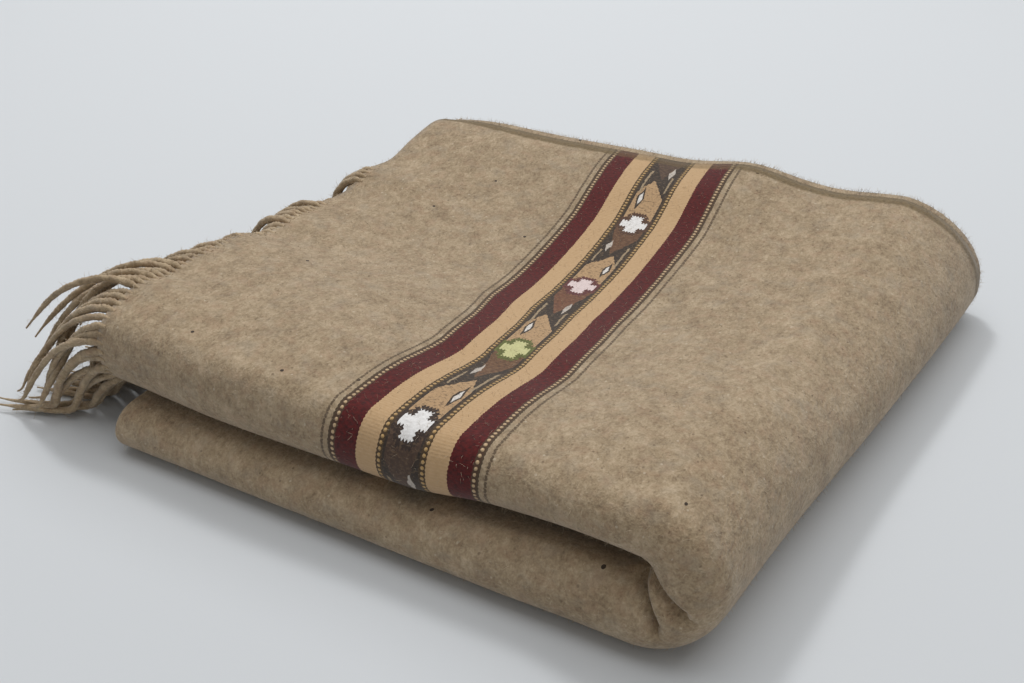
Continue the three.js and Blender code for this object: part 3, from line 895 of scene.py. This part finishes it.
class Tree:
    """A Geometry Nodes tree with named inputs for its sizes."""

    def __init__(self, name):
        self.group = bpy.data.node_groups.new(name, "GeometryNodeTree")
        self.group.interface.new_socket("Geometry", in_out="INPUT", socket_type="NodeSocketGeometry")
        self.group.interface.new_socket("Geometry", in_out="OUTPUT", socket_type="NodeSocketGeometry")
        self.start = self.group.nodes.new("NodeGroupInput")
        self.end = self.group.nodes.new("NodeGroupOutput")
        self.values = {}
        self.names = {}

    def size(self, name, kind, value):
        socket = self.group.interface.new_socket(name, in_out="INPUT", socket_type=kind)
        self.values[socket.identifier] = value
        self.names[name] = socket.identifier
        return self.start.outputs[name]

    def add(self, kind, links=None, **settings):
        node = self.group.nodes.new(kind)
        for key, value in settings.items():
            setattr(node, key, value)
        for place, value in (links or {}).items():
            socket = node.inputs[place]
            if isinstance(value, bpy.types.NodeSocket):
                self.group.links.new(value, socket)
            else:
                socket.default_value = value
        return node

    def close(self, geometry, material):
        """Realizes the result and coats it."""
        real = self.add("GeometryNodeRealizeInstances", {0: geometry})
        coated = self.add("GeometryNodeSetMaterial", {"Geometry": real.outputs[0], "Material": material})
        self.group.links.new(coated.outputs[0], self.end.inputs[0])

    def apply(self, piece, sizes=None):
        """Works the tree on a piece and leaves the piece as a plain mesh."""
        modifier = piece.modifiers.new(self.group.name, "NODES")
        modifier.node_group = self.group
        for identifier, value in self.values.items():
            modifier[identifier] = value
        for name, value in (sizes or {}).items():
            modifier[self.names[name]] = value
        seen = piece.evaluated_get(bpy.context.evaluated_depsgraph_get())
        mesh = bpy.data.meshes.new_from_object(seen)
        piece.modifiers.remove(modifier)
        mesh.name = piece.name
        mesh.shade_smooth()
        piece.data = mesh


twisted = Tree("twisted strands")
turns = twisted.size("Turns a metre", "NodeSocketFloat", TWIST)
waist = twisted.size("Waist", "NodeSocketFloat", WAIST)
line = twisted.add("GeometryNodeMeshToCurve", {"Mesh": twisted.start.outputs["Geometry"]})
travel = twisted.add("GeometryNodeSplineParameter")
turned = twisted.add("ShaderNodeMath", {0: travel.outputs["Length"], 1: turns}, operation="MULTIPLY")
angle = twisted.add("ShaderNodeMath", {0: turned.outputs[0], 1: 2 * math.pi}, operation="MULTIPLY")
tilted = twisted.add("GeometryNodeSetCurveTilt", {"Curve": line.outputs[0], "Tilt": angle.outputs[0]})
ring = twisted.add("GeometryNodeCurvePrimitiveCircle", {"Resolution": RING_POINTS, "Radius": 1.0})
place = twisted.add("GeometryNodeInputPosition")
parts = twisted.add("ShaderNodeSeparateXYZ", {0: place.outputs[0]})
lobe = twisted.add("ShaderNodeMath", {0: parts.outputs[0]}, operation="ABSOLUTE")
swell = twisted.add("ShaderNodeMapRange", {0: lobe.outputs[0], 3: waist, 4: 1.0})
lobed = twisted.add(
    "ShaderNodeVectorMath",
    {0: place.outputs[0], "Scale": swell.outputs[0]},
    operation="SCALE",
)
section = twisted.add("GeometryNodeSetPosition", {
    "Geometry": ring.outputs[0],
    "Position": lobed.outputs[0],
})
thickness = twisted.add("GeometryNodeInputNamedAttribute", {"Name": "thickness"}, data_type="FLOAT")
strands = twisted.add("GeometryNodeCurveToMesh", {
    "Curve": tilted.outputs[0],
    "Profile Curve": section.outputs[0],
    "Scale": thickness.outputs[0],
    "Fill Caps": True,
})
twisted.close(strands.outputs[0], wool_fringe)
twisted.apply(fringe)
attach(fringe, "root")
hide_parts("shawl_fringe")


# Nap: loose wool fibres that stand out of the fulled face of the cloth and blur its edges.
# Each is a short bent hair, scattered over the outer faces and set at its own lean.
HAIR = 0.0036
HAIRS_PER_AREA = 36000.0
HAIR_LEAN = 1.1
HAIR_LENGTHS = (0.4, 1.2)
# Rings of a hair of three sides: height and lean as shares of its length, and radius; then its tip
HAIR_RINGS = ((0.0, 0.0, 0.00008), (0.55, 0.12, 0.00006))
HAIR_TIP = (0.45, 0.9)
hair_points = []
hair_faces = []
for height_share, lean, thick in HAIR_RINGS:
    for corner_angle in (0.0, 2 * math.pi / 3, 4 * math.pi / 3):
        hair_points.append((
            lean * HAIR + thick * math.cos(corner_angle),
            thick * math.sin(corner_angle),
            height_share * HAIR,
        ))
hair_points.append((HAIR_TIP[0] * HAIR, 0.0, HAIR_TIP[1] * HAIR))
for n in range(3):
    hair_faces.append((n, (n + 1) % 3, 3 + (n + 1) % 3, 3 + n))
    hair_faces.append((3 + n, 3 + (n + 1) % 3, 6))
hair_faces.append((2, 1, 0))
hair_mesh = bpy.data.meshes.new("nap_hair")
hair_mesh.from_pydata(hair_points, [], hair_faces)
hair = bpy.data.objects.new("nap_hair", hair_mesh)

shown_columns = WIDTH_STEPS[0] + WIDTH_STEPS[1]
shown = number[:outer_rows, :shown_columns]
shown_quads = np.stack([shown[:-1, :-1], shown[:-1, 1:], shown[1:, 1:], shown[1:, :-1]], -1)
shown_quads = shown_quads.reshape(-1, 4)
shown_points = outer_face.reshape(-1, 3)[:shown.max() + 1]
nap = add_piece("shawl_nap", mesh_of("shawl_nap", shown_points, shown_quads))
fringe_nap = add_piece("shawl_fringe_nap", fringe.data.copy())
selvage_points = np.concatenate([outer_face[:, 0], under_face[:, 0]])
along_selvage = np.arange(len(grid) - 1)
selvage_quads = np.stack([along_selvage, along_selvage + 1], -1)
selvage_quads = np.concatenate([selvage_quads, selvage_quads[:, ::-1] + len(grid)], -1)
selvage_nap = add_piece("shawl_selvage_nap", mesh_of("shawl_selvage_nap", selvage_points, selvage_quads))

NAP_SHADES = (dye(226, 210, 184), dye(200, 182, 154), dye(164, 146, 120))
NAP_PILE_HEIGHT = 0.0001
wool_nap, nap_tree, nap_place = new_wool("wool_nap")
nap_colour, nap_pile = heather(nap_tree, nap_place, *NAP_SHADES)
finish_wool(nap_tree, nap_colour, nap_pile, NAP_PILE_HEIGHT)

# Seeds of what varies from hair to hair, and of the places of the hairs on the cloth
LEAN_X_SEED = 11
LEAN_Y_SEED = 12
SPIN_SEED = 13
LENGTH_SEED = 14
CLOTH_SEED = 7
scatter = Tree("nap hairs")


def varied(low, high, seed):
    """A chance number for each hair."""
    chosen = scatter.add("FunctionNodeRandomValue", {2: low, 3: high, "Seed": seed}, data_type="FLOAT")
    return chosen.outputs[1]


density = scatter.size("Hairs a square metre", "NodeSocketFloat", HAIRS_PER_AREA)
spread_lean = scatter.size("Lean", "NodeSocketFloat", HAIR_LEAN)
hair_size = scatter.size("Size", "NodeSocketFloat", 1.0)
seed = scatter.size("Seed", "NodeSocketInt", CLOTH_SEED)
hairs_at = scatter.add("GeometryNodeDistributePointsOnFaces", {
    "Mesh": scatter.start.outputs["Geometry"],
    "Density": density,
    "Seed": seed,
})
lean_low = scatter.add("ShaderNodeMath", {0: spread_lean, 1: -1.0}, operation="MULTIPLY")
lean_x = varied(lean_low.outputs[0], spread_lean, LEAN_X_SEED)
lean_y = varied(lean_low.outputs[0], spread_lean, LEAN_Y_SEED)
spin = varied(0.0, 2 * math.pi, SPIN_SEED)
lean = scatter.add("ShaderNodeCombineXYZ", {0: lean_x, 1: lean_y, 2: spin})
lean_turn = scatter.add("FunctionNodeEulerToRotation", {0: lean.outputs[0]})
set_at = scatter.add(
    "FunctionNodeRotateRotation",
    {0: hairs_at.outputs["Rotation"], 1: lean_turn.outputs[0]},
    rotation_space="LOCAL",
)
own_length = varied(*HAIR_LENGTHS, LENGTH_SEED)
long = scatter.add("ShaderNodeMath", {0: own_length, 1: hair_size}, operation="MULTIPLY")
one_hair = scatter.add("GeometryNodeObjectInfo", {"Object": hair})
placed_hairs = scatter.add("GeometryNodeInstanceOnPoints", {
    "Points": hairs_at.outputs["Points"],
    "Instance": one_hair.outputs["Geometry"],
    "Rotation": set_at.outputs[0],
    "Scale": long.outputs[0],
})
scatter.close(placed_hairs.outputs[0], wool_nap)
FRINGE_HAIRS = {"Hairs a square metre": 40000.0, "Size": 1.4, "Seed": 8}
SELVAGE_HAIRS = {"Hairs a square metre": 1100000.0, "Size": 1.25, "Seed": 9}
scatter.apply(nap)
scatter.apply(fringe_nap, FRINGE_HAIRS)
scatter.apply(selvage_nap, SELVAGE_HAIRS)
bpy.data.objects.remove(hair)
for hairs, slot in ((nap, "wool_cloth"), (fringe_nap, "wool_fringe"), (selvage_nap, "wool_cloth")):
    tips = np.empty(len(hairs.data.vertices) * 3, dtype=np.float32)
    hairs.data.vertices.foreach_get("co", tips)
    tips[2::3] = np.maximum(tips[2::3], 0.0)
    hairs.data.vertices.foreach_set("co", tips)
    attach(hairs, "root")


# Floor, light and camera: a plain pale floor of matt paint, one flat sheet. A broad soft light hangs
# overhead, a little behind the packet, and a smaller one at the back left casts the shadow to the right.
# The camera stands at the front right, a little above the packet.
FLOOR_HALF = 4
floor_corners = [(x * FLOOR_HALF, y * FLOOR_HALF, 0) for x, y in ((-1, -1), (1, -1), (1, 1), (-1, 1))]
floor_mesh = bpy.data.meshes.new("floor")
floor_mesh.from_pydata(floor_corners, [], [(0, 1, 2, 3)])
floor = add_piece("floor", floor_mesh)
floor_paint = bpy.data.materials.new("pale_floor")
floor_paint.use_nodes = True
floor_shader = floor_paint.node_tree.nodes["Principled BSDF"]
floor_shader.inputs["Base Color"].default_value = dye(213, 217, 221)
floor_shader.inputs["Roughness"].default_value = 0.9
floor_mesh.materials.append(floor_paint)

world = bpy.data.worlds.new("studio")
world.use_nodes = True
sky = world.node_tree.nodes["Background"]
sky.inputs["Color"].default_value = (1.0, 0.985, 0.96, 1.0)
sky.inputs["Strength"].default_value = 0.29
bpy.context.scene.world = world
# Lights that face the packet's middle on the floor: name, place, width and power
LIGHTS = (
    ("overhead", (0.0, 0.75, 2.6), 3.4, 51.0),
    ("window", (-1.17, 1.30, 2.6), 0.4, 26.0),
)
for name, spot, size, power in LIGHTS:
    lamp = bpy.data.lights.new(name, "AREA")
    lamp.size = size
    lamp.energy = power
    light = add_piece(name, lamp)
    light.location = spot
    x, y, z = spot
    light.rotation_euler = (math.atan2(math.hypot(x, y), z), 0, math.atan2(x, -y))

lens = bpy.data.cameras.new("camera")
lens.lens = 39.73
lens.sensor_width = 36.0
camera = add_piece("camera", lens)
camera.location = (0.2734, -0.5427, 0.4321)
camera.rotation_euler = (math.radians(56.5), 0.0, math.radians(28.84))
bpy.context.scene.camera = camera
bpy.context.scene.view_settings.view_transform = "Standard"
